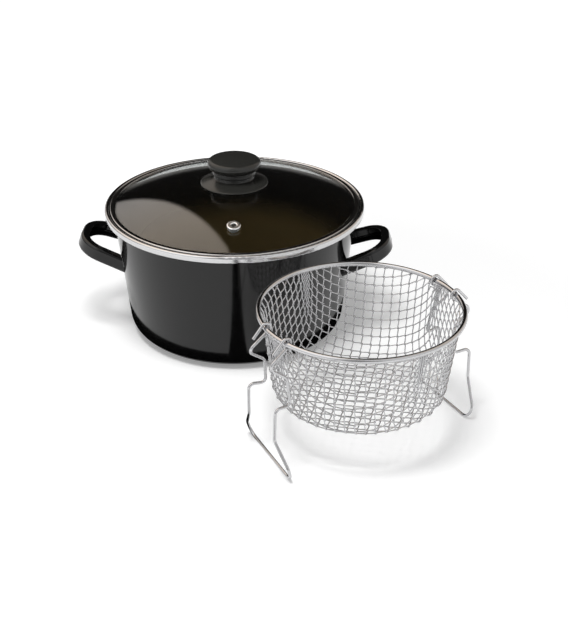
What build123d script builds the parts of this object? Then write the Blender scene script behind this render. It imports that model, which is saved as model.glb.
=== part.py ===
from build123d import *
from build123d.topology import SkipClean
import os
from math import asin, cos, degrees, pi, radians, sin, sqrt, tan

# Deep fry pot with a glass lid and a wire basket that stands beside it.
# Millimetres, +Z up, origin at the centre of the pot's flat base.
# +X runs along the pot's two handles and the basket stands at -Y.

# Pot vessel, drawn from one sheet
pot_height = 127.0
rim_radius = 125.0
wall = 1.8
seat_inset = 8.5
seat_depth = 5.1
wall_taper = 12.0
base_round = 18.4
seat_bend = 1.2
edge_depth = 1.8

# Bright trim closed over the vessel's edge
band_height = 6.0
band_bulge = 2.1
band_sheet = 0.5
band_roll_share = 0.45
band_low_round = 0.9
band_fit = 0.05

# Pressed loop handles of the pot, open channel section
loop_tilt = 20.3
loop_drop = 50.6
loop_reach = 42.4
loop_inner_reach = 14.0
loop_foot_half_width = 38.6
loop_end_half_width = 29.9
loop_corner_round = 28.0
loop_height = 13.8
loop_depth = 8.0
loop_sheet = 1.5
loop_round = 3.0
loop_tip_round = 0.6
weld_gap = 0.05

# Glass lid and its ring
seat_gap = 0.3
lid_play = 0.85
ring_height = 5.0
ring_sheet = 0.5
ring_lip = 4.0
ring_round = 0.45
glass_fit = 0.1
flange_width = 4.8
dome_rise = 22.0
dome_foot_round = 3.0
glass_hole_play = 0.8

# Steam vent through the glass
vent_inset = 32.9
vent_direction = -86.2
vent_hole_radius = 2.4
vent_tube_radius = 3.7
vent_fit = 0.15
vent_top_radius = 6.4
vent_top_height = 2.2
vent_top_round = 1.0
vent_low_radius = 5.4
vent_low_height = 1.2
vent_low_round = 0.5

# Knob, its skirt, washer and screw
skirt_radius = 32.3
skirt_edge_gap = 0.35
skirt_edge = 1.0
skirt_shell = 2.2
skirt_edge_round = 0.4
collar_radius = 19.0
collar_base = 4.6
collar_height = 7.6
collar_round = 0.5
boss_radius = 9.0
grip_bottom_radius = 18.3
grip_lip_radius = 20.5
grip_lip_height = 2.4
grip_neck_radius = 19.8
grip_neck_height = 5.4
grip_radius = 25.4
grip_shoulder_height = 10.5
grip_dome_height = 5.8
grip_cap_inset = 3.9
grip_cap_height = 4.4
grip_lip_chamfer = 0.7
grip_hole_room = 1.0
screw_radius = 2.4
screw_fit = 0.1
screw_length = 8.5
screw_head_radius = 4.6
screw_head_height = 2.6
screw_head_round = 1.0
slot_width = 1.2
slot_depth = 1.3
washer_radius = 8.0
washer_thickness = 1.2
washer_fit = 0.15
washer_gap = 0.15

# Basket: rim ring and drawn net. The net stands as a plain grid of bars, coarser than its wires.
basket_x = 118.8
basket_y = -190.9
basket_height = 116.4
basket_radius = 87.5
basket_rim_radius = 2.2
net_thickness = 2.0
net_depth = 83.9
net_shoulder_inset = 4.8
net_shoulder_drop = 8.2
net_taper = 9.4
net_base_round = 13.8
net_lip_drop = 3.6
net_lip_round = 2.2
net_slot_depth = 1.6
net_fit = 0.1
notch_width = 6.4
notch_depth = 8.6
net_bar = 2.2
net_columns = 24
net_rows = 5
net_base_cells = 9
net_base_turn = 80.2
net_corner_share = 0.82
net_small_cell_share = 0.3
net_cut_overrun = 3.0

# Bent wire handles of the basket. Each bend has its gap from the net, its step
# sideways and down from the bend before it, and its round.
wire_radius = 1.3
hook_gap = 0.7
hook_half_angle = 10.2
hook_tip_length = 13.0
hook_tip_slope = 47.0
hook_leg_slope = 38.0
hook_round_share = 0.96
hook_corners = 3
bulge_gap = 18.4
bulge_spread = 0.7
bulge_drop = 19.4
bulge_round = 4.6
tuck_gap = 3.1
tuck_spread = 1.7
tuck_drop = 12.5
tuck_round = 9.0
step_in_gap = 4.0
step_in_spread = 3.0
step_in_drop = 24.5
step_in_round = 3.8
step_out_gap = 19.3
step_out_spread = 2.0
step_out_rise = 2.0
step_out_round = 4.6
kink_gap = 23.3
kink_spread = 0.5
kink_drop = 29.0
kink_round = 10.0
run_gap = 14.7
run_spread = 26.5
run_round = 9.0
bend_limit_share = 0.49
handle_directions = {"basket_handle_right": 30.0, "basket_handle_left": 215.3}
handle_twists = {"basket_handle_right": 0.0, "basket_handle_left": 7.5}

# Places worked out from the sizes above
seat_height = pot_height - seat_depth
edge_radius = rim_radius - band_bulge
edge_height = pot_height - edge_depth
wall_top_radius = rim_radius - seat_inset
base_radius = wall_top_radius - wall_taper
wall_lean = (wall_top_radius - base_radius) / (seat_height - wall)
loop_root_height = pot_height - loop_drop
loop_root_radius = base_radius + wall_lean * loop_root_height
band_lip_radius = edge_radius - wall - band_fit - band_sheet
lid_radius = band_lip_radius - lid_play
ring_base = seat_height + seat_gap
ring_top = ring_base + ring_height
glass_top = ring_top - ring_sheet
glass_thickness = ring_height - 2 * ring_sheet
dome_foot_radius = lid_radius - flange_width
dome_radius = (dome_foot_radius**2 + dome_rise**2) / (2 * dome_rise)
dome_centre = glass_top + dome_rise - dome_radius
crown = glass_top + dome_rise
crown_under = crown - glass_thickness
vent_distance = dome_foot_radius - vent_inset
knob_seat = crown + collar_height
hook_radius = basket_rim_radius + hook_gap + wire_radius
basket_rim_height = basket_height - basket_rim_radius
basket_rim_line = basket_radius - basket_rim_radius
net_base_height = basket_height - net_depth
net_shoulder_height = basket_height - net_shoulder_drop
net_shoulder_radius = basket_radius - net_shoulder_inset
net_base_radius = net_shoulder_radius - net_taper
net_lean = net_taper / (net_shoulder_height - net_base_height)
basket_place = Pos(basket_x, basket_y)


def turned(outline):
    """Solid turned about the vertical axis from an outline of radius and height."""
    return revolve(Plane.XZ * make_face(outline), Axis.Z)


def closed(*lines):
    """Closed outline of the given lines, joined end to start by straight lines."""
    ends = zip(lines, lines[1:] + lines[:1])
    joins = [Line(one @ 1, other @ 0) for one, other in ends if (one @ 1 - other @ 0).length > 0]
    return Curve() + list(lines) + joins


def vessel_outer_line():
    """The vessel's outside, from the axis up to its edge."""
    low = seat_height - wall
    return FilletPolyline(
        (0, 0), (base_radius, 0), (wall_top_radius, low), (edge_radius, low), (edge_radius, edge_height),
        radius=[base_round, seat_bend, seat_bend + wall],
    )


def vessel_inner_line():
    """The vessel's inside, from its edge down to the axis."""
    shift = wall_lean * wall - wall
    face = edge_radius - wall
    return FilletPolyline(
        (face, edge_height), (face, seat_height), (wall_top_radius + shift, seat_height),
        (base_radius + shift, wall), (0, wall),
        radius=[seat_bend, seat_bend + wall, base_round - wall],
    )


def pot_body():
    """Drawn vessel with a seat for the lid and an upright edge."""
    return turned(closed(vessel_outer_line(), vessel_inner_line()))


def pot_rim_band():
    """Trim closed over the edge: a bulge outside and a thin lip inside."""
    lip = band_lip_radius
    roll = band_roll_share * (rim_radius - lip)
    low = pot_height - band_height
    lip_low = seat_height + seat_bend + band_fit
    roof = edge_height + band_fit
    return turned(FilletPolyline(
        (rim_radius, low), (rim_radius, pot_height), (lip, pot_height), (lip, lip_low),
        (lip + band_sheet, lip_low), (lip + band_sheet, roof), (edge_radius + band_fit, roof),
        (edge_radius + band_fit, low),
        radius=[band_low_round, roll, roll, 0, 0, 0, 0, 0], close=True,
    ))


def vessel_block():
    """The room that the vessel fills, with the weld gap round it."""
    grown = edge_radius + weld_gap
    low = seat_height - wall
    return turned(FilletPolyline(
        (0, 0), (base_radius + weld_gap, 0), (wall_top_radius + weld_gap, low),
        (grown, low), (grown, edge_height), (0, edge_height),
        radius=[0, base_round, 0, 0, 0, 0], close=True,
    ))


def pot_handle(side):
    """Loop of channel section, tilted up, with both feet on the wall."""
    turn = radians(loop_tilt)
    plane = Plane(
        origin=(side * loop_root_radius, 0, loop_root_height),
        x_dir=(side * cos(turn), 0, sin(turn)), z_dir=(-side * sin(turn), 0, cos(turn)),
    )
    path = plane * FilletPolyline(
        (-loop_inner_reach, loop_foot_half_width), (loop_reach, loop_end_half_width),
        (loop_reach, -loop_end_half_width), (-loop_inner_reach, -loop_foot_half_width),
        radius=loop_corner_round,
    )
    half = loop_height / 2
    inner = half - loop_sheet
    channel = make_face(FilletPolyline(
        (0, -half), (0, half), (loop_depth, half), (loop_depth, inner), (loop_sheet, inner),
        (loop_sheet, -inner), (loop_depth, -inner), (loop_depth, -half),
        radius=[loop_round, loop_round, loop_tip_round, loop_tip_round, loop_round - loop_sheet,
                loop_round - loop_sheet, loop_tip_round, loop_tip_round],
        close=True,
    ))
    start = path @ 0
    ahead = path % 0
    inward = plane.z_dir.cross(ahead) * -1
    section = Plane(origin=start, x_dir=inward, z_dir=ahead) * channel
    return sweep(section, path=path) - vessel_block()


def dome_height(radius, drop=0):
    """Height of the glass's outer face, or of a face that lies under it."""
    return dome_centre + sqrt((dome_radius - drop) ** 2 - radius**2)


def lid_ring():
    """Ring of sheet folded over the glass's edge."""
    inner = lid_radius - ring_lip
    web = lid_radius - ring_sheet
    return turned(FilletPolyline(
        (lid_radius, ring_base), (lid_radius, ring_top), (inner, ring_top),
        (inner, ring_top - ring_sheet), (web, ring_top - ring_sheet), (web, ring_base + ring_sheet),
        (inner, ring_base + ring_sheet), (inner, ring_base),
        radius=[ring_round, ring_round, 0, 0, 0, 0, 0, 0], close=True,
    ))


def vent_plane():
    """Frame on the glass at the vent, with Z square to the glass."""
    lean = degrees(asin(vent_distance / dome_radius))
    turn = Rot(0, 0, vent_direction) * Pos(vent_distance, 0, dome_height(vent_distance))
    return turn * Rot(0, lean, 0)


def lid_glass():
    """Domed disc with a flat flange, a centre hole and a vent hole."""
    edge = lid_radius - ring_sheet - glass_fit
    low = glass_top - glass_thickness
    under = dome_radius - glass_thickness
    under_foot = sqrt(under**2 - (low - dome_centre) ** 2)
    middle = dome_foot_radius / 2
    under_middle = under_foot / 2
    upper = ThreePointArc(
        (dome_foot_radius, glass_top), (middle, dome_height(middle)), (0, crown))
    lower = ThreePointArc(
        (0, crown_under), (under_middle, dome_height(under_middle, glass_thickness)), (under_foot, low))
    rim = Polyline((under_foot, low), (edge, low), (edge, glass_top), (dome_foot_radius, glass_top))
    glass = turned(closed(upper, lower, rim))
    feet = [
        ring for ring in glass.edges().filter_by(GeomType.CIRCLE)
        if min(abs(ring.radius - dome_foot_radius), abs(ring.radius - under_foot)) < glass_fit
    ]
    glass = fillet(feet, dome_foot_round)
    bore = Pos(0, 0, crown) * Cylinder(screw_radius + glass_hole_play, 4 * glass_thickness)
    vent = vent_plane() * Cylinder(vent_tube_radius + vent_fit, 4 * glass_thickness)
    return glass - bore - vent


def vent_eyelet():
    """Rolled vent: a raised top flange, a tube and a flange under the glass."""
    under = glass_thickness + vent_low_radius**2 / dome_radius
    foot = -under - vent_low_height
    eyelet = turned(FilletPolyline(
        (vent_hole_radius, foot), (vent_low_radius, foot), (vent_low_radius, -under),
        (vent_tube_radius, -under), (vent_tube_radius, 0), (vent_top_radius, 0),
        (vent_top_radius, vent_top_height), (vent_hole_radius, vent_top_height),
        radius=[vent_low_round, vent_low_round, 0, 0, 0, 0, vent_top_round, vent_top_round],
        close=True,
    ))
    return vent_plane() * eyelet


def knob_skirt():
    """Flared base of the knob: a collar, a thin flare and a boss on the glass."""
    edge_low = dome_height(skirt_radius) + skirt_edge_gap
    edge_high = edge_low + skirt_edge
    collar_foot = crown + collar_base
    hole = screw_radius + screw_fit
    ceiling = collar_foot - skirt_shell + skirt_edge / 2
    return turned(FilletPolyline(
        (hole, crown), (boss_radius, crown), (boss_radius, ceiling), (collar_radius, ceiling - skirt_edge),
        (skirt_radius - skirt_edge, edge_low), (skirt_radius, edge_low), (skirt_radius, edge_high),
        (collar_radius, collar_foot), (collar_radius, knob_seat), (hole, knob_seat),
        radius=[0, 0, 0, 0, 0, skirt_edge_round, skirt_edge_round, collar_round, collar_round, 0],
        close=True,
    ))


def knob_grip():
    """Mushroom grip with a lip at its foot and a blind hole for the screw."""
    hole = screw_radius + screw_fit
    hole_top = knob_seat + screw_length + grip_hole_room
    shoulder = knob_seat + grip_shoulder_height
    top = shoulder + grip_dome_height
    lip = knob_seat + grip_lip_height
    neck = knob_seat + grip_neck_height
    foot = Polyline(
        (hole, knob_seat), (grip_bottom_radius, knob_seat),
        (grip_lip_radius, knob_seat + grip_lip_chamfer), (grip_lip_radius, lip - grip_lip_chamfer),
        (grip_neck_radius, lip), (grip_neck_radius, neck),
    )
    cheek = TangentArc((grip_radius, shoulder), (grip_neck_radius, neck), tangent=(0, -1))
    cap_reach = grip_radius - grip_cap_inset
    edge = TangentArc((grip_radius, shoulder), (cap_reach, shoulder + grip_cap_height), tangent=(0, 1))
    cap_rise = grip_dome_height - grip_cap_height
    cap_radius = (cap_reach**2 + cap_rise**2) / (2 * cap_rise)
    half = cap_reach / 2
    cap = ThreePointArc(edge @ 1, (half, top - cap_radius + sqrt(cap_radius**2 - half**2)), (0, top))
    core = Polyline((0, top), (0, hole_top), (hole, hole_top), (hole, knob_seat))
    return turned(Curve() + [foot, cheek, edge, cap, core])


def washer_top():
    """Highest place of a flat washer under the curved glass."""
    return dome_height(washer_radius, glass_thickness) - washer_gap


def knob_washer():
    """Flat washer between the glass and the screw's head."""
    top = washer_top()
    hole = screw_radius + washer_fit
    return turned(Polyline(
        (hole, top - washer_thickness), (washer_radius, top - washer_thickness),
        (washer_radius, top), (hole, top), close=True,
    ))


def knob_screw():
    """Slotted screw from under the glass up into the grip."""
    head_top = washer_top() - washer_thickness
    head_low = head_top - screw_head_height
    screw = turned(FilletPolyline(
        (0, head_low), (screw_head_radius, head_low), (screw_head_radius, head_top),
        (screw_radius, head_top), (screw_radius, knob_seat + screw_length), (0, knob_seat + screw_length),
        radius=[0, screw_head_round, 0, 0, 0, 0], close=True,
    ))
    slot = Pos(0, 0, head_low) * Box(2 * screw_head_radius, slot_width, 2 * slot_depth)
    return screw - slot


def basket_rim():
    """Round ring with a groove under it that holds the net's edge."""
    ring = Pos(0, 0, basket_rim_height) * Torus(basket_rim_line, basket_rim_radius)
    inner = basket_rim_line - net_thickness / 2 - net_fit
    roof = basket_rim_height - basket_rim_radius + net_slot_depth + net_fit
    low = basket_rim_height - 2 * basket_rim_radius
    groove = turned(Polyline(
        (inner, low), (inner + net_thickness + 2 * net_fit, low),
        (inner + net_thickness + 2 * net_fit, roof), (inner, roof), close=True,
    ))
    return basket_place * (ring - groove)


def net_line(outside):
    """The net's profile from the axis up to the rim, outer or inner side."""
    inset = 0 if outside else net_thickness
    floor = net_base_height + inset
    shoulder = net_shoulder_height
    top = basket_rim_height - basket_rim_radius + net_slot_depth
    lip = basket_rim_line + net_thickness / 2 - inset
    return FilletPolyline(
        (0, floor), (net_base_radius + net_lean * inset - inset, floor),
        (net_shoulder_radius - inset, shoulder),
        (lip, shoulder + net_lip_drop), (lip, top),
        radius=[net_base_round - inset, net_lip_round, net_lip_round],
    )


def net_cell(edge, share, length):
    """Cutter for one opening of the net's side, square to its outline at a share of an edge."""
    middle = edge @ share
    ahead = edge % share
    narrow = min((edge @ 0).X, middle.X)
    width = 2 * narrow * sin(pi / net_columns) - net_bar
    plane = Plane(origin=(middle.X, 0, middle.Y), x_dir=(0, 1, 0), z_dir=(ahead.Y, 0, -ahead.X))
    return plane * Box(width, length, 2 * net_cut_overrun)


def net_column(outline, section):
    """One of the net's upright rows of openings, with the bars round them."""
    turn = 360 / net_columns
    column = Rot(0, 0, -turn / 2) * revolve(Plane.XZ * section, Axis.Z, turn)
    side = outline.edges().filter_by(GeomType.LINE).sort_by(Axis.Y)[1]
    corner = outline.edges().filter_by(GeomType.CIRCLE).sort_by(Axis.Y)[0]
    cells = [net_cell(corner, 1 / 2, net_corner_share * (corner @ 1 - corner @ 0).length)]
    for row in range(net_rows):
        cells.append(net_cell(side, (row + 1 / 2) / net_rows, side.length / net_rows - net_bar))
    return (column - cells).solid()


def net_base(reach):
    """The net's flat base, a disc with a square grid of openings."""
    pitch = 2 * reach / net_base_cells
    bars = []
    for count in range(1, net_base_cells):
        bar = Pos((count - net_base_cells / 2) * pitch, 0) * Rectangle(net_bar, 3 * reach)
        bars += [bar, Rot(0, 0, 90) * bar]
    openings = (Circle(reach - net_bar / 2) - bars).faces()
    holes = [opening for opening in openings if opening.area > net_small_cell_share * pitch**2]
    disc = Rot(0, 0, net_base_turn) * (Circle(reach) - holes)
    return Pos(0, 0, net_base_height) * extrude(disc, net_thickness)


def basket_net():
    """Drawn bowl of net, open at the top, with a gap for each hook under the rim."""
    outer = net_line(True)
    inner = net_line(False)
    lines = [outer, inner, Line(outer @ 0, inner @ 0), Line(outer @ 1, inner @ 1)]
    reach = outer.edges().filter_by(GeomType.LINE).sort_by(Axis.Y)[0].length - net_bar
    flat = Pos(0, net_base_height) * Rectangle(2 * reach, 3 * net_thickness)
    column = net_column(outer, make_face(Curve() + lines) - flat)
    copies = [Rot(0, 0, 360 * count / net_columns) * column for count in range(1, net_columns)]
    notch = Box(4 * net_thickness + 2 * notch_width, notch_width, 2 * notch_depth)
    notches = []
    for direction in handle_directions.values():
        for side in (-1, 1):
            turn = Rot(0, 0, direction + side * hook_half_angle)
            notches.append(turn * Pos(basket_rim_line, 0, basket_rim_height) * notch)
    with SkipClean():
        net = column.fuse(*copies, net_base(reach).solid()).cut(*notches)
    return basket_place * net


def net_outside(up):
    """Radius of the net's outside at a height, or of its base below that."""
    return net_base_radius + net_lean * max(up - net_base_height, 0)


def wire_side():
    """Corner points and rounds of one side of a wire handle, from its free tip down."""
    angle = radians(hook_half_angle)
    out = basket_rim_line * cos(angle)
    side = basket_rim_line * sin(angle)
    tip_turn = 90 - hook_tip_slope
    leg_turn = 270 - hook_leg_slope
    step = (leg_turn - tip_turn) / hook_corners
    reach = hook_radius / cos(radians(step / 2))
    slope = radians(hook_tip_slope)
    tip_out = out + hook_radius * sin(slope) + hook_tip_length * cos(slope)
    tip_up = basket_rim_height + hook_radius * cos(slope) - hook_tip_length * sin(slope)
    points = [(tip_out, side, tip_up)]
    for count in range(hook_corners):
        turn = radians(tip_turn + (count + 1 / 2) * step)
        points.append((out + reach * cos(turn), side, basket_rim_height + reach * sin(turn)))
    up = basket_height
    for gap, spread, drop in (
        (bulge_gap, bulge_spread, bulge_drop), (tuck_gap, tuck_spread, tuck_drop),
        (step_in_gap, step_in_spread, step_in_drop), (step_out_gap, step_out_spread, -step_out_rise),
        (kink_gap, kink_spread, kink_drop),
    ):
        side += spread
        up -= drop
        points.append((net_outside(up) + gap + wire_radius, side, up))
    points.append((net_base_radius + run_gap + wire_radius, side + run_spread, wire_radius))
    rounds = [hook_round_share * hook_radius] * hook_corners + [
        bulge_round, tuck_round, step_in_round, step_out_round, kink_round, run_round]
    return points, rounds


def bend_round(before, corner, after, wanted):
    """Round of a wire's bend, limited by the straight runs on both sides of it."""
    back, ahead = Vector(before) - Vector(corner), Vector(after) - Vector(corner)
    turn = 180 - back.get_angle(ahead)
    return min(wanted, bend_limit_share * min(back.length, ahead.length) / tan(radians(turn / 2)))


def wire_path(direction, twist):
    """Whole line of a wire handle in the pot's frame."""
    points, rounds = wire_side()
    loop = points + [(out, -side, up) for out, side, up in reversed(points)]
    placed = []
    for out, side, up in loop:
        share = min(max((basket_rim_height - up) / basket_rim_height, 0), 1)
        away = out + side * tan(radians(twist)) * share
        turn = radians(direction)
        placed.append((
            basket_x + away * cos(turn) - side * sin(turn),
            basket_y + away * sin(turn) + side * cos(turn), up,
        ))
    wanted = rounds + rounds[::-1]
    radii = [bend_round(*placed[k:k + 3], wanted[k]) for k in range(len(wanted))]
    return FilletPolyline(*placed, radius=radii)


def basket_handle(direction, twist):
    """Round wire bent along its path."""
    path = wire_path(direction, twist)
    section = Plane(origin=path @ 0, z_dir=path % 0) * Circle(wire_radius)
    wire = sweep(section, path=path)
    fill = wire.volume / (section.area * path.length)
    print("wire length", round(path.length, 1), "volume over section times length", round(fill, 4))
    return wire


os.makedirs("parts", exist_ok=True)
pieces = {
    "pot_body": pot_body(),
    "pot_rim_band": pot_rim_band(),
    "pot_handle_left": pot_handle(-1),
    "pot_handle_right": pot_handle(1),
    "lid_ring": lid_ring(),
    "lid_glass": lid_glass(),
    "vent_eyelet": vent_eyelet(),
    "knob_skirt": knob_skirt(),
    "knob_grip": knob_grip(),
    "knob_washer": knob_washer(),
    "knob_screw": knob_screw(),
    "basket_rim": basket_rim(),
    "basket_net": basket_net(),
}
for name, direction in handle_directions.items():
    pieces[name] = basket_handle(direction, handle_twists[name])
for name, piece in pieces.items():
    piece.label = name
    export_step(piece, "parts/" + name + ".step")
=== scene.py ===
from math import atan2, cos, hypot, inf, pi, radians, sin

import bpy
import numpy as np
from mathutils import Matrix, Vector


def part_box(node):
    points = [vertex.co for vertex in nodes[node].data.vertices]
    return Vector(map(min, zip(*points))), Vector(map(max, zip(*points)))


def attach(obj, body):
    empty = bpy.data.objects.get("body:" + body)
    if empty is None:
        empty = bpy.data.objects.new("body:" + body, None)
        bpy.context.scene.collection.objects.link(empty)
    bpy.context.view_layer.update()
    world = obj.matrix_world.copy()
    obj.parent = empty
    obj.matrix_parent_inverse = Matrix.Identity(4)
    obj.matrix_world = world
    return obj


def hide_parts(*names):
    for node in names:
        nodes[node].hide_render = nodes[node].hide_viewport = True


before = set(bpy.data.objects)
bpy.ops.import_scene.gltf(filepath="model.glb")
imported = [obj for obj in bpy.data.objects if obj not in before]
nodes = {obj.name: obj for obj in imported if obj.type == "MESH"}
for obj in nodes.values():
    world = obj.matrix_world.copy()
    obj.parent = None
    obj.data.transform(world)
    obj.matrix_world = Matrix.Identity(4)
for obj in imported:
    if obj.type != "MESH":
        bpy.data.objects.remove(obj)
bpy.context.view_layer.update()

# Floor and studio. A white table top lies under soft lamps, and also glows with painted light, weakest
# near the pot and stronger further out. Reflections alone see a glowing tent round it, a painted
# reflection: bright at the left and in front, paler at the right, dimmer straight ahead and dark behind,
# so the black enamel and the glass show one clear edge of light.

floor_size = 12.0
floor_white = (0.84, 0.84, 0.84)
floor_centre = (0.05, -0.08, 0.0)
near_distance, far_distance, end_distance = 0.30, 0.62, 2.4
near_glow, far_glow, end_glow = 0.25, 0.52, 0.24
air_light_on_pieces, air_light_seen = 0.30, 1.0


def stage_mesh(name, verts, faces):
    """Stage object from plain lists of corners and faces."""
    mesh = bpy.data.meshes.new(name)
    mesh.from_pydata(verts, [], faces)
    thing = bpy.data.objects.new(name, mesh)
    bpy.context.scene.collection.objects.link(thing)
    return thing


def new_material(name):
    """Empty node material, with its tree and its output node."""
    material = bpy.data.materials.new(name)
    material.use_nodes = True
    tree = material.node_tree
    tree.nodes.clear()
    return material, tree, tree.nodes.new("ShaderNodeOutputMaterial")


def feed(tree, socket, value):
    """Sets a socket to a number, a place or a colour, or links it to another socket."""
    if isinstance(value, bpy.types.NodeSocket):
        tree.links.new(value, socket)
    elif socket.type == "RGBA":
        socket.default_value = (*value, 1)
    else:
        socket.default_value = value


def add_node(tree, kind, inputs=None, **settings):
    """Shader node of a kind, with its settings made and its inputs fed."""
    node = tree.nodes.new("ShaderNode" + kind)
    for label, value in settings.items():
        setattr(node, label, value)
    for label, value in (inputs or {}).items():
        feed(tree, node.inputs[label], value)
    return node


def math_node(tree, operation, *values):
    """Result of a Math node on sockets or numbers."""
    return add_node(tree, "Math", dict(enumerate(values)), operation=operation).outputs[0]


def band(tree, value, low, high, start=0.0, end=1.0):
    """Smooth ramp from a start at low to an end at high."""
    limits = {"Value": value, "From Min": low, "From Max": high, "To Min": start, "To Max": end}
    return add_node(tree, "MapRange", limits, interpolation_type="SMOOTHSTEP").outputs[0]


def seen_directly(tree):
    """One for camera, glossy and transmission rays, zero for the rest."""
    path = add_node(tree, "LightPath")
    seen = math_node(tree, "MAXIMUM", path.outputs["Is Camera Ray"], path.outputs["Is Glossy Ray"])
    return math_node(tree, "MAXIMUM", seen, path.outputs["Is Transmission Ray"])


half = floor_size / 2
floor = stage_mesh("floor", [(-half, -half, 0), (half, -half, 0), (half, half, 0), (-half, half, 0)],
                   [(0, 1, 2, 3)])
# Besides its lit white, the table glows for camera, glossy and transmission rays: painted light, weakest
# near the pot and stronger further out, which whitens the table away from the pot.
material, tree, out = new_material("white_table_painted_glow")
place = add_node(tree, "NewGeometry").outputs["Position"]
distance = add_node(tree, "VectorMath", {0: place, 1: floor_centre}, operation="DISTANCE").outputs["Value"]
near_part = band(tree, distance, near_distance, far_distance, near_glow, far_glow)
end_part = band(tree, distance, far_distance, end_distance, 0.0, end_glow)
strength = math_node(tree, "MULTIPLY", seen_directly(tree), math_node(tree, "ADD", near_part, end_part))
paint = add_node(tree, "BsdfDiffuse", {"Color": floor_white})
glow = add_node(tree, "Emission", {"Strength": strength})
both = add_node(tree, "AddShader", {0: paint.outputs[0], 1: glow.outputs[0]})
feed(tree, out.inputs["Surface"], both.outputs[0])
floor.data.materials.append(material)

world = bpy.data.worlds.new("studio_air")
world.use_nodes = True
tree = world.node_tree
air = add_node(tree, "MapRange", {"Value": seen_directly(tree), "To Min": air_light_on_pieces,
                                  "To Max": air_light_seen})
sky = tree.nodes["Background"]
feed(tree, sky.inputs["Color"], (1.0, 1.0, 1.0))
feed(tree, sky.inputs["Strength"], air.outputs[0])
bpy.context.scene.world = world

tent_radius = 3.0
tent_foot = -0.02
tent_rings, tent_sides = 24, 64


def ring_faces(rings, sides, base=0):
    """Quads between rings of corners that follow each other from a base corner."""
    starts = [(base + ring * sides + side, base + ring * sides + (side + 1) % sides)
              for ring in range(rings) for side in range(sides)]
    return [(a, b, b + sides, a + sides) for a, b in starts]


def for_reflections(thing, through_glass):
    """Hides a stage object from all but glossy rays, and lets rays through glass see it if asked."""
    thing.visible_camera = thing.visible_diffuse = thing.visible_shadow = False
    thing.visible_transmission = through_glass


verts = []
for ring in range(tent_rings + 1):
    rise = tent_foot + (pi / 2 - tent_foot) * ring / tent_rings
    for side in range(tent_sides):
        turn = 2 * pi * side / tent_sides
        verts.append((tent_radius * cos(rise) * cos(turn), tent_radius * cos(rise) * sin(turn),
                      tent_radius * sin(rise)))
# The tent is no lamp. It glows, and only reflections see it, so it paints reflections on the pieces.
tent = stage_mesh("painted_reflection_tent", verts, ring_faces(tent_rings, tent_sides))
for_reflections(tent, through_glass=True)

# Each part of the tent: the turn about the pot's axis and the limits of its edge, and how bright it is.
white_turn, white_lean, white_edge = radians(110.5), 0.22, (-0.27, -0.17)
white_light, white_gain, crown_edge = 0.38, 1.15, (0.0, 2.6)
right_turn, right_edge, right_light = radians(60), (-0.05, -0.5), 0.8
front_edge, front_light = (-0.25, -0.7), 0.9
ahead_edge, ahead_light, least_forward = (0.1, 0.7), 0.35, 0.01
horizon_edge, horizon_light, least_light = (0.42, 0.12), 0.16, 0.01
plain_white, low_warmth, high_warmth = (1.0, 1.0, 1.0), (1.0, 0.955, 0.93), (1.0, 0.87, 0.75)
warm_edge = (-0.2, 0.3)


def axes(tree, vector):
    """The three parts of a place or a direction."""
    parts = add_node(tree, "SeparateXYZ", {0: vector})
    return parts.outputs["X"], parts.outputs["Y"], parts.outputs["Z"]


def mixed(tree, factor, first, second):
    """Colour mixed from a first to a second, each a socket or three numbers."""
    inputs = {"Factor": factor, "A": first, "B": second}
    return add_node(tree, "Mix", inputs, data_type="RGBA").outputs["Result"]


# Painted reflections: the tent's glow, by place on the tent, and warmer higher up and behind.
material, tree, out = new_material("tent_painted_reflection")
tent_x, tent_y, tent_z = axes(tree, add_node(tree, "NewGeometry").outputs["Position"])


def beyond(turn, edge, lean=0.0):
    """Smooth mask of the tent beyond a leaning plane near the axis, at its left as one looks out."""
    across = math_node(tree, "ADD", math_node(tree, "MULTIPLY", tent_x, -sin(turn)),
                       math_node(tree, "MULTIPLY", tent_y, cos(turn)))
    below = math_node(tree, "SUBTRACT", tent_z, tent_radius)
    return band(tree, math_node(tree, "MULTIPLY_ADD", below, lean, across), *edge)


forward = math_node(tree, "MAXIMUM", math_node(tree, "MULTIPLY", tent_y, -1.0), least_forward)
aside = math_node(tree, "DIVIDE", math_node(tree, "ABSOLUTE", tent_x), forward)
off_centre = math_node(tree, "MULTIPLY_ADD", band(tree, aside, *ahead_edge), 1 - ahead_light, ahead_light)
rise = band(tree, tent_z, *crown_edge)
white_level = math_node(tree, "MULTIPLY", beyond(white_turn, white_edge, white_lean),
                        math_node(tree, "MULTIPLY_ADD", rise, white_gain, white_light))
right_level = math_node(tree, "MULTIPLY", beyond(right_turn, right_edge), right_light)
front_level = math_node(tree, "MULTIPLY", band(tree, tent_y, *front_edge), front_light)
horizon_level = math_node(tree, "MULTIPLY", band(tree, tent_z, *horizon_edge), horizon_light)
level = math_node(tree, "MAXIMUM", right_level, front_level)
level = math_node(tree, "MAXIMUM", level, white_level)
level = math_node(tree, "MULTIPLY", level, off_centre)
level = math_node(tree, "MAXIMUM", level, math_node(tree, "ADD", horizon_level, least_light))
warm = mixed(tree, rise, low_warmth, high_warmth)
tint = mixed(tree, band(tree, tent_y, *warm_edge), plain_white, warm)
glow = add_node(tree, "Emission", {"Color": tint, "Strength": level})
feed(tree, out.inputs["Surface"], glow.outputs[0])
tent.data.materials.append(material)

# Dark cards: painted dark reflections. Black sheets lie on the table, and only reflections see them. A
# narrow card in front of the pot paints the stripe down the middle of the black wall, a ring keeps the
# wall's foot dark as painted shade, and a wide one behind keeps the far edge of the glass dark.

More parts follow.
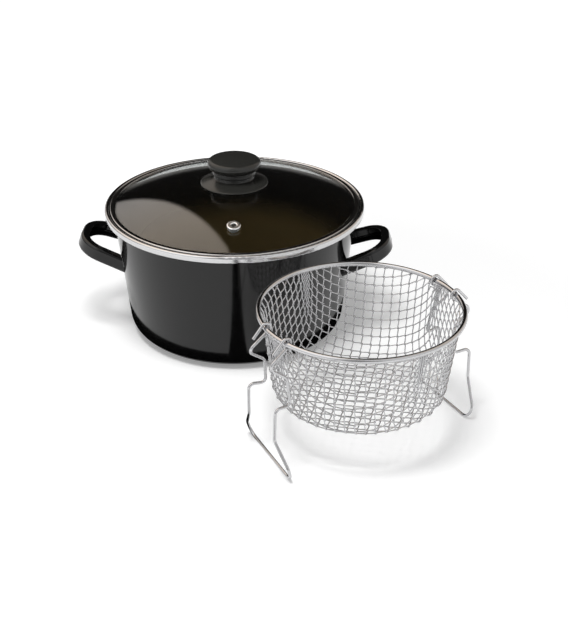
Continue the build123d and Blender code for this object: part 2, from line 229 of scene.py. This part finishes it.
painted_dark_tone = (0.004, 0.004, 0.004)
card_lift = 0.0006
strip_half_width, strip_near, strip_far, strip_turn = 0.013, 0.125, 1.2, radians(4.8)
ring_outer, ring_inner, ring_turns, ring_steps = 0.128, 0.1, (0, 360), 64
behind_outer, behind_inner, behind_turns, behind_steps = 2.95, 0.30, (66, 112.5), 24

painted_dark_reflection, tree, out = new_material("painted_dark_reflection")
feed(tree, out.inputs["Surface"], add_node(tree, "BsdfDiffuse", {"Color": painted_dark_tone}).outputs[0])


def dark_card(name, outer, inner):
    """Flat card between two rows of points on the table."""
    points = [Vector((*place, card_lift)) for place in (*outer, *inner)]
    count = len(outer)
    card = stage_mesh(name, points, [(k, k + 1, k + 1 + count, k + count) for k in range(count - 1)])
    for_reflections(card, through_glass=False)
    card.data.materials.append(painted_dark_reflection)


def arc(radius, ends, steps):
    """Points on a circle about the pot's axis, between two turns in degrees."""
    turns = [radians(ends[0] + (ends[1] - ends[0]) * step / steps) for step in range(steps + 1)]
    return [(radius * cos(turn), radius * sin(turn)) for turn in turns]


ahead = Vector((sin(strip_turn), -cos(strip_turn)))
beside = Vector((cos(strip_turn), sin(strip_turn))) * strip_half_width
dark_card("dark_strip", [ahead * strip_near - beside, ahead * strip_far - beside],
          [ahead * strip_near + beside, ahead * strip_far + beside])
dark_card("dark_ring", arc(ring_outer, ring_turns, ring_steps), arc(ring_inner, ring_turns, ring_steps))
dark_card("dark_behind", arc(behind_outer, behind_turns, behind_steps),
          arc(behind_inner, behind_turns, behind_steps))

# Lamps. A large soft one hangs above and in front, and gives the shadows on the table. A weaker one
# stands at the left. Reflections see neither of them, so no square of glare lies on the gloss.


def soft_lamp(name, place, aim, size, power):
    """Large square lamp that reflections don't see."""
    data = bpy.data.lights.new(name, "AREA")
    data.shape = "SQUARE"
    data.size = size
    data.energy = power
    lamp = bpy.data.objects.new(name, data)
    lamp.location = place
    lamp.rotation_euler = (Vector(aim) - Vector(place)).to_track_quat("-Z", "Y").to_euler()
    lamp.visible_glossy = lamp.visible_transmission = False
    bpy.context.scene.collection.objects.link(lamp)


soft_lamp("lamp_above", place=(-0.18, -0.52, 1.75), aim=(0.04, -0.06, 0), size=0.55, power=24.0)
soft_lamp("lamp_left", place=(-1.5, -0.5, 1.2), aim=(0, -0.05, 0.05), size=1.0, power=1.5)

# Camera. It stands a metre in front of the pot, turned and tipped as the photograph's was. Its lens
# follows from a focal length in pixels, fitted to the outlines of the three round rims.

camera_place = (0.08899, -1.05379, 0.57359)
camera_tip, camera_turn = radians(90 - 28.381), radians(2.2)
image_height, focal_pixels = 630, 1182.2
sensor_width = 36.0
nearest_seen, farthest_seen = 0.01, 30.0
data = bpy.data.cameras.new("camera")
data.sensor_width = sensor_width
data.lens = focal_pixels * sensor_width / image_height
data.clip_start, data.clip_end = nearest_seen, farthest_seen
camera = bpy.data.objects.new("camera", data)
camera.location = camera_place
camera.rotation_euler = (camera_tip, 0, camera_turn)
bpy.context.scene.collection.objects.link(camera)
bpy.context.scene.camera = camera
bpy.context.scene.view_settings.view_transform = "Standard"

# Pot vessel. Drawn steel sheet, dipped in black glass enamel and fired, with a slightly wavy gloss.
# Its base and lower wall are browner inside, where the coat is thin over the ground coat.


def skin_group(name, inputs):
    """Empty shader group with named number inputs, which puts out a height and a roughness."""
    group = bpy.data.node_groups.new(name, "ShaderNodeTree")
    for label, value in inputs.items():
        socket = group.interface.new_socket(label, in_out="INPUT", socket_type="NodeSocketFloat")
        socket.default_value = value
    for label in ("Height", "Roughness"):
        group.interface.new_socket(label, in_out="OUTPUT", socket_type="NodeSocketFloat")
    return group, group.nodes.new("NodeGroupInput"), group.nodes.new("NodeGroupOutput")


def placed(tree, group, inputs):
    """The group put into a material, with its own values."""
    return add_node(tree, "Group", inputs, node_tree=group)


def object_place(tree):
    """Coordinates fixed to the piece, in metres."""
    return add_node(tree, "TexCoord").outputs["Object"]


def noise(tree, place, scale, detail, rough=0.5):
    """Height of a noise texture at a place."""
    inputs = {"Vector": place, "Scale": scale, "Detail": detail, "Roughness": rough}
    return add_node(tree, "TexNoise", inputs).outputs[0]


def between(tree, share, low, high):
    """Number that goes from low to high as the share goes from zero to one."""
    return math_node(tree, "MULTIPLY_ADD", share, math_node(tree, "SUBTRACT", high, low), low)


# Fired or moulded gloss: long waves and fine grain as a height, faint smudges as a roughness.
wave_detail, grain_share = 2.0, 0.18
smudge_scale, smudge_detail, smudge_rough, smudge_edge = 22.0, 5.0, 0.62, (0.42, 0.72)
gloss_skin, given, result = skin_group(
    "gloss_skin", {"Wave size": 0.012, "Grain size": 0.0012, "Smooth": 0.08, "Smudged": 0.2})
place = object_place(gloss_skin)
waves, grain = [noise(gloss_skin, place, math_node(gloss_skin, "DIVIDE", 1.0, given.outputs[label]),
                      wave_detail) for label in ("Wave size", "Grain size")]
smudge = band(gloss_skin, noise(gloss_skin, place, smudge_scale, smudge_detail, smudge_rough),
              *smudge_edge)
feed(gloss_skin, result.inputs["Height"], math_node(gloss_skin, "MULTIPLY_ADD", grain, grain_share, waves))
feed(gloss_skin, result.inputs["Roughness"],
     between(gloss_skin, smudge, given.outputs["Smooth"], given.outputs["Smudged"]))

bevel_samples = 12


def bumped(tree, height, depth, rounding=0.0):
    """Normal with a bump of a real depth in metres, over edges rounded by a real radius."""
    inputs = {"Strength": 1.0, "Distance": depth, "Height": height}
    if rounding:
        inputs["Normal"] = add_node(tree, "Bevel", {"Radius": rounding}, samples=bevel_samples).outputs[0]
    return add_node(tree, "Bump", inputs).outputs[0]


def from_axis(tree, x, y):
    """Distance from an upright axis, from the two level parts."""
    squares = [math_node(tree, "POWER", part, 2.0) for part in (x, y)]
    return math_node(tree, "SQRT", math_node(tree, "ADD", *squares))


def dress(thing, material):
    """Gives the piece one material in place of what it came with."""
    thing.data.materials.clear()
    thing.data.materials.append(material)


enamel_black, enamel_brown = (0.003, 0.003, 0.0031), (0.058, 0.039, 0.016)
enamel_ior, enamel_depth = 1.45, 0.000024
wall_lean, inner_wall_edge = 0.1, (0.1042, 0.1038)
upward_share, inward_edge = 0.1, (0.0, 0.02)
brown_edge = (0.092, 0.055)

# The browner part lies low, within the middle of the wall's sheet, and faces the axis or upward.
black_enamel, tree, out = new_material("black_enamel")
skin = placed(tree, gloss_skin, {"Wave size": 0.03, "Grain size": 0.0016, "Smooth": 0.10, "Smudged": 0.145})
x, y, z = axes(tree, object_place(tree))
facing_x, facing_y, facing_z = axes(tree, add_node(tree, "NewGeometry").outputs["Normal"])
outward_part = math_node(tree, "MULTIPLY_ADD", x, facing_x, math_node(tree, "MULTIPLY", y, facing_y))
inward = math_node(tree, "MULTIPLY_ADD", facing_z, upward_share,
                   math_node(tree, "MULTIPLY", outward_part, -1.0))
foot_reach = math_node(tree, "MULTIPLY_ADD", z, -wall_lean, from_axis(tree, x, y))
inside = math_node(tree, "MULTIPLY", band(tree, foot_reach, *inner_wall_edge),
                   band(tree, inward, *inward_edge))
inside = math_node(tree, "MULTIPLY", inside, band(tree, z, *brown_edge))
coat = add_node(tree, "BsdfPrincipled", {
    "Base Color": mixed(tree, inside, enamel_black, enamel_brown), "Roughness": skin.outputs["Roughness"],
    "IOR": enamel_ior, "Normal": bumped(tree, skin.outputs["Height"], enamel_depth)})
feed(tree, out.inputs["Surface"], coat.outputs[0])
dress(nodes["pot_body"], black_enamel)

# Rim band. A strip of polished stainless steel, rolled closed over the enamelled edge. The rolling
# leaves very fine lines round it.

line_detail, line_rough, line_share = 3.0, 0.6, 0.5
length_per_radian = 0.0006
patch_scale, patch_detail, patch_rough, patch_edge = 45.0, 4.0, 0.6, (0.4, 0.7)
rolled_lines, given, result = skin_group(
    "rolled_lines", {"Centre X": 0.0, "Centre Y": 0.0, "Line size": 0.0004, "Smooth": 0.12, "Dull": 0.22})
x, y, z = axes(rolled_lines, object_place(rolled_lines))
away_x, away_y = [math_node(rolled_lines, "SUBTRACT", part, given.outputs[label])
                  for part, label in ((x, "Centre X"), (y, "Centre Y"))]
turn = math_node(rolled_lines, "ARCTAN2", away_y, away_x)
ring_place = add_node(rolled_lines, "CombineXYZ", {
    "X": from_axis(rolled_lines, away_x, away_y), "Y": z,
    "Z": math_node(rolled_lines, "MULTIPLY", turn, length_per_radian)}).outputs[0]
fineness = math_node(rolled_lines, "DIVIDE", 1.0, given.outputs["Line size"])
lines = noise(rolled_lines, ring_place, fineness, line_detail, line_rough)
patches = band(rolled_lines, noise(rolled_lines, object_place(rolled_lines), patch_scale, patch_detail,
                                   patch_rough), *patch_edge)
worn = math_node(rolled_lines, "MULTIPLY_ADD", lines, line_share,
                 math_node(rolled_lines, "MULTIPLY", patches, 1 - line_share))
feed(rolled_lines, result.inputs["Height"], lines)
feed(rolled_lines, result.inputs["Roughness"],
     between(rolled_lines, worn, given.outputs["Smooth"], given.outputs["Dull"]))


def steel(name, tint, smooth, dull, line_depth, centre=(0.0, 0.0), rounding=0.0):
    """Polished steel with fine rolled lines round the given axis."""
    material, tree, out = new_material(name)
    skin = placed(tree, rolled_lines, {"Centre X": centre[0], "Centre Y": centre[1],
                                       "Smooth": smooth, "Dull": dull})
    metal = add_node(tree, "BsdfPrincipled", {
        "Base Color": tint, "Metallic": 1.0, "Roughness": skin.outputs["Roughness"],
        "Normal": bumped(tree, skin.outputs["Height"], line_depth, rounding)})
    feed(tree, out.inputs["Surface"], metal.outputs[0])
    return material


rim_steel = steel("rim_steel", tint=(0.60, 0.60, 0.605), smooth=0.13, dull=0.17, line_depth=0.000001,
                  rounding=0.0012)
dress(nodes["pot_rim_band"], rim_steel)

# Pot handles. Two loops of pressed steel channel, welded under the rim at the left and the right,
# and enamelled together with the pot.

for side in ("left", "right"):
    dress(nodes["pot_handle_" + side], black_enamel)

# Lid ring. A thin stainless strip, rolled to a ring and folded over the edge of the glass from above
# and below. It is polished as the rim band is, which it rests on.

lid_steel = steel("lid_steel", tint=(0.74, 0.74, 0.74), smooth=0.10, dull=0.14, line_depth=0.000001,
                  rounding=0.0012)
dress(nodes["lid_ring"], lid_steel)

# Lid glass. Toughened soda glass, pressed to a low dome with a flat flange. Lamps shine through it
# by the shadow rays, so the inside of the pot is lit.

glass_tint, glass_ior, glass_depth = (0.93, 0.96, 0.945), 1.5, 0.000002
lamp_tint = (0.9, 0.92, 0.91)
lid_glass, tree, out = new_material("lid_glass")
skin = placed(tree, gloss_skin, {"Wave size": 0.06, "Grain size": 0.02, "Smooth": 0.0, "Smudged": 0.03})
glass = add_node(tree, "BsdfPrincipled", {
    "Base Color": glass_tint, "Transmission Weight": 1.0, "Roughness": skin.outputs["Roughness"],
    "IOR": glass_ior, "Normal": bumped(tree, skin.outputs["Height"], glass_depth)})
clear = add_node(tree, "BsdfTransparent", {"Color": lamp_tint})
choice = add_node(tree, "MixShader", {0: add_node(tree, "LightPath").outputs["Is Shadow Ray"],
                                      1: glass.outputs[0], 2: clear.outputs[0]})
feed(tree, out.inputs["Surface"], choice.outputs[0])
dress(nodes["lid_glass"], lid_glass)

# Steam vent. A small rolled steel eyelet through the glass, closed over it from both sides, which
# lets steam out.

vent_low, vent_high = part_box("vent_eyelet")
vent_centre = tuple((vent_low + vent_high) / 2)[:2]
vent_steel = steel("vent_steel", tint=(0.90, 0.90, 0.90), smooth=0.22, dull=0.3, line_depth=0.000002,
                   centre=vent_centre)
dress(nodes["vent_eyelet"], vent_steel)

# Knob. A grip and a flared skirt of moulded black phenolic, satin from the mould. The skirt stands on
# the crown of the glass and carries the grip.

knob_tone = (0.022, 0.022, 0.020)
knob_ior, knob_gloss = 1.55, 0.3
knob_depth, knob_rounding = 0.00002, 0.002
knob_black, tree, out = new_material("knob_black")
skin = placed(tree, gloss_skin, {"Wave size": 0.02, "Grain size": 0.0004, "Smooth": 0.20, "Smudged": 0.28})
moulded = add_node(tree, "BsdfPrincipled", {
    "Base Color": knob_tone, "IOR": knob_ior, "Specular IOR Level": knob_gloss,
    "Roughness": skin.outputs["Roughness"],
    "Normal": bumped(tree, skin.outputs["Height"], knob_depth, knob_rounding)})
feed(tree, out.inputs["Surface"], moulded.outputs[0])
for name in ("knob_skirt", "knob_grip"):
    dress(nodes[name], knob_black)

# Knob fixing. A slotted screw of zinc coated steel goes up through a washer, the glass and the skirt
# into the blind hole of the grip.

fastener_steel = steel("fastener_steel", tint=(0.62, 0.62, 0.60), smooth=0.25, dull=0.4,
                       line_depth=0.00001)
for name in ("knob_washer", "knob_screw"):
    dress(nodes[name], fastener_steel)

# Basket rim. A ring of bright plated steel, rolled closed over the top edge of the net, whose cut
# wires end inside it.

rim_low, rim_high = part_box("basket_rim")
basket_x, basket_y = (rim_low.x + rim_high.x) / 2, (rim_low.y + rim_high.y) / 2
basket_chrome = steel("basket_chrome", tint=(0.55, 0.55, 0.56), smooth=0.11, dull=0.19,
                      line_depth=0.000004, centre=(basket_x, basket_y))
dress(nodes["basket_rim"], basket_chrome)

# Basket net. Crimped wires hooked into each other as in a chain link fence, in a flat mat that was
# then drawn into a bowl. The cells stay square along two lines across the bowl and are drawn out
# to narrow diamonds between them.

net_low, net_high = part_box("basket_net")
net_skin, top_play = 0.001, 0.0003
net_floor, net_top = net_low.z + net_skin, net_high.z - top_play
corner_round, corner_steps, corner_play = 0.0128, 12, 0.0001
base_reach = 0.0723
shoulder_radius, shoulder_height = 0.0817, 0.1077
lip_radius, lip_height, past_lip_height = 0.0852, 0.1117, 0.150


def net_profile():
    """The net's middle surface as radius and height, from the axis out and up."""
    lean = atan2(shoulder_radius - base_reach, shoulder_height - net_floor)
    centre = base_reach + corner_play - corner_round * (1 - sin(lean)) / cos(lean)
    line = [(0.0, net_floor), (centre, net_floor)]
    for step in range(1, corner_steps + 1):
        turn = (pi / 2 - lean) * step / corner_steps
        line.append((centre + corner_round * sin(turn), net_floor + corner_round * (1 - cos(turn))))
    line += [(shoulder_radius, shoulder_height), (lip_radius, lip_height), (lip_radius, past_lip_height)]
    return np.array(line)


profile = net_profile()
run = np.concatenate([[0], np.cumsum(np.hypot(*np.diff(profile, axis=0).T))])


def net_point(reach, turn):
    """Point of the bowl by the length from its axis along the profile, and the turn."""
    out = np.interp(reach, run, profile[:, 0])
    return np.array([out * cos(turn), out * sin(turn), np.interp(reach, run, profile[:, 1])])


def nearest_reach(out, up):
    """Length along the profile at its nearest point to a radius and a height."""
    best, found = inf, 0.0
    for start, end, before in zip(profile[:-1], profile[1:], run[:-1]):
        edge = end - start
        share = min(max(((out - start[0]) * edge[0] + (up - start[1]) * edge[1]) / (edge @ edge), 0), 1)
        gap = hypot(out - start[0] - share * edge[0], up - start[1] - share * edge[1])
        if gap < best:
            best, found = gap, before + share * hypot(*edge)
    return found


net_pitch = 0.0082
solver_steps = 12
solver_nudge = 1e-7
longest_move = 0.002
flattest_slope = 1e-4
largest_misfit = 1e-5
least_cell_share = 0.3


def next_knot(one, other, old):
    """Knot that lies one link from two others along the bowl, on the far side from the old one."""
    a, b, c = net_point(*one), net_point(*other), net_point(*old)
    guess = a + b - c
    turn = atan2(guess[1], guess[0])
    reach = nearest_reach(hypot(guess[0], guess[1]), guess[2])

    def misfit(reach, turn):
        """How much further than a link the two others are."""
        place = net_point(reach, turn)
        return np.array([np.linalg.norm(place - a), np.linalg.norm(place - b)]) - net_pitch

    for step in range(solver_steps):
        miss = misfit(reach, turn)
        slope = np.stack([misfit(reach + solver_nudge, turn) - miss,
                          misfit(reach, turn + solver_nudge / shoulder_radius) - miss], 1) / solver_nudge
        if abs(np.linalg.det(slope)) < flattest_slope:
            return None
        move = np.clip(np.linalg.solve(slope, -miss), -longest_move, longest_move)
        reach, turn = reach + move[0], turn + move[1] / shoulder_radius
    if np.abs(misfit(reach, turn)).max() > largest_misfit:
        return None
    apart = np.linalg.norm(net_point(reach, turn) - c)
    return (reach, turn) if apart > least_cell_share * net_pitch else None


net_reach = 24
flat_reach = 0.054


def toward_middle(index):
    """The mat's row or column that is one nearer to its middle."""
    return index - (index > 0) + (index < 0)


def draped_net():
    """Knots of the mat on the bowl: square on the base, then each a link from its two neighbours."""
    index = range(-net_reach, net_reach + 1)
    found = {(i, j): (net_pitch * hypot(i, j), atan2(j, i)) for i in index for j in index
             if net_pitch * hypot(i, j) < flat_reach}
    for step in range(1, net_reach + 1):
        for i, j in ((step, 0), (0, step), (-step, 0), (0, -step)):
            if (i, j) in found:
                continue
            before = found[toward_middle(i), toward_middle(j)]
            start, reach = net_point(*before), before[0] + net_pitch
            for correction in range(solver_steps):
                reach += net_pitch - np.linalg.norm(net_point(reach, before[1]) - start)
            found[i, j] = (reach, before[1])
    for total in range(2, 2 * net_reach + 1):
        for i in index:
            for j in (total - abs(i), abs(i) - total):
                inner_i, inner_j = toward_middle(i), toward_middle(j)
                near = [(inner_i, j), (i, inner_j), (inner_i, inner_j)]
                if (i, j) in found or not i or not j or any(place not in found for place in near):
                    continue
                if min(found[near[0]][0], found[near[1]][0]) > run[-2] + net_pitch:
                    continue
                knot = next_knot(*(found[place] for place in near))
                if knot:
                    found[i, j] = knot
    return found


net_turn = radians(80.2)
shortest = 1e-9
places, outward = {}, {}
for knot, (reach, turn) in draped_net().items():
    places[knot] = net_point(reach, turn + net_turn)
    low, high = net_point(reach - net_skin, turn + net_turn), net_point(reach + net_skin, turn + net_turn)
    around = np.array([-sin(turn + net_turn), cos(turn + net_turn), 0.0])
    outward[knot] = np.cross(around, high - low) / max(np.linalg.norm(high - low), shortest)

# One link: shares of its length from bend to bend, and how far the wire is lifted off the mat there.
link_shares = (0.0, 0.10, 0.24, 0.5, 0.76, 0.90)
lift_shares = (0.0, 0.75, 1.0, 1.0, 1.0, 0.75)
wire_lift = 0.0005
bend_reach = 0.00075


def bend_point(i, j, step_i, step_j):
    """The bend of a wire at a knot, set past the knot so that it hooks round its neighbour."""
    here = places[i, j]
    one = places.get((i + 1, j), here) - places.get((i - 1, j), here)
    two = places.get((i, j + 1), here) - places.get((i, j - 1), here)
    toward = (step_i * one / max(np.linalg.norm(one), shortest)
              + step_j * two / max(np.linalg.norm(two), shortest))
    return here + bend_reach * toward / max(np.linalg.norm(toward), shortest)


def net_wire(number):
    """Centre lines of one crimped wire, which steps along the two mat directions in turn."""
    line = []
    for total in range(-2 * net_reach, 2 * net_reach):
        odd = (total + number) % 2
        i = (total + number + odd) // 2
        j = total - i
        ahead = (i, j + 1) if odd else (i + 1, j)
        if (i, j) not in places or ahead not in places:
            if line:
                yield line
            line = []
            continue
        way = 1 if odd else -1
        start, end = bend_point(i, j, way, -way), bend_point(*ahead, -way, way)
        for share, lift in zip(link_shares, lift_shares):
            out = outward[i, j] * (1 - share) + outward[ahead] * share
            line.append(start * (1 - share) + end * share + out * (-way * wire_lift) * lift)
        last = end
    if line:
        yield line + [last]


hook_turns = (30.0, 215.3)
hook_side = 0.0151
hook_room = 0.0023
hook_reach = 4 * hook_room
hook_low, hook_high = 0.1035, 0.1065


def beside_hooks(point):
    """Moves a point of the net sideways where a handle's hook comes through under the rim."""
    room = hook_room * min(max((point[2] - hook_low) / (hook_high - hook_low), 0), 1)
    for turn in map(radians, hook_turns):
        away = point[0] * cos(turn) + point[1] * sin(turn)
        across = point[1] * cos(turn) - point[0] * sin(turn)
        for side in (-hook_side, hook_side):
            gap = across - side
            if away > 0 and abs(gap) < hook_reach:
                shift = (hypot(gap, room) - abs(gap)) * (1 if gap > 0 else -1)
                point = point + shift * np.array([-sin(turn), cos(turn), 0.0])
    return point


def under_rim(line):
    """Parts of a line that lie under the net's top edge, with their cut ends on it."""
    part = []
    for index, place in enumerate(line):
        before = line[index - 1]
        if index and (place[2] < net_top) != (before[2] < net_top):
            part.append(before + (place - before) * (net_top - before[2]) / (place[2] - before[2]))
            if place[2] >= net_top:
                yield part
                part = []
        if place[2] < net_top:
            part.append(place)
    if len(part) > 2:
        yield part


wire_radius = 0.00054
wire_sides = 6
least_across = 0.1


def tube(points, verts, faces):
    """Adds a round wire along the points to the lists of corners and faces."""
    ahead = np.gradient(points, axis=0)
    ahead /= np.linalg.norm(ahead, axis=1)[:, None]
    side = np.cross(ahead[0], (0.0, 0.0, 1.0))
    if np.linalg.norm(side) < least_across:
        side = np.cross(ahead[0], (1.0, 0.0, 0.0))
    base = sum(len(block) for block in verts)
    turns = 2 * pi * np.arange(wire_sides) / wire_sides
    rings = []
    for place, along in zip(points, ahead):
        side = side - along * (side @ along)
        side /= np.linalg.norm(side)
        other = np.cross(along, side)
        rings.append(place + wire_radius * (np.cos(turns)[:, None] * side + np.sin(turns)[:, None] * other))
    verts.append(np.concatenate(rings))
    last = base + (len(points) - 1) * wire_sides
    faces += ring_faces(len(points) - 1, wire_sides, base)
    faces.append(tuple(base + k for k in reversed(range(wire_sides))))
    faces.append(tuple(last + k for k in range(wire_sides)))


verts, faces = [], []
basket_axis = np.array([basket_x, basket_y, 0.0])
for number in range(-2 * net_reach, 2 * net_reach):
    for line in net_wire(number):
        for part in under_rim(line):
            tube(np.array([beside_hooks(point) for point in part]) + basket_axis, verts, faces)
mesh = bpy.data.meshes.new("net_wires")
mesh.from_pydata(np.concatenate(verts).tolist(), [], faces)
mesh.shade_smooth()
net = bpy.data.objects.new("net_wires", mesh)
bpy.context.scene.collection.objects.link(net)
dress(net, basket_chrome)
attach(net, "basket")
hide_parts("basket_net")

# Wire handles. Bent from thicker bright wire to a loop with a grip, with an open hook at each end
# over the basket's rim. Folded down, as here, the two grips carry the basket.

for side in ("left", "right"):
    dress(nodes["basket_handle_" + side], basket_chrome)
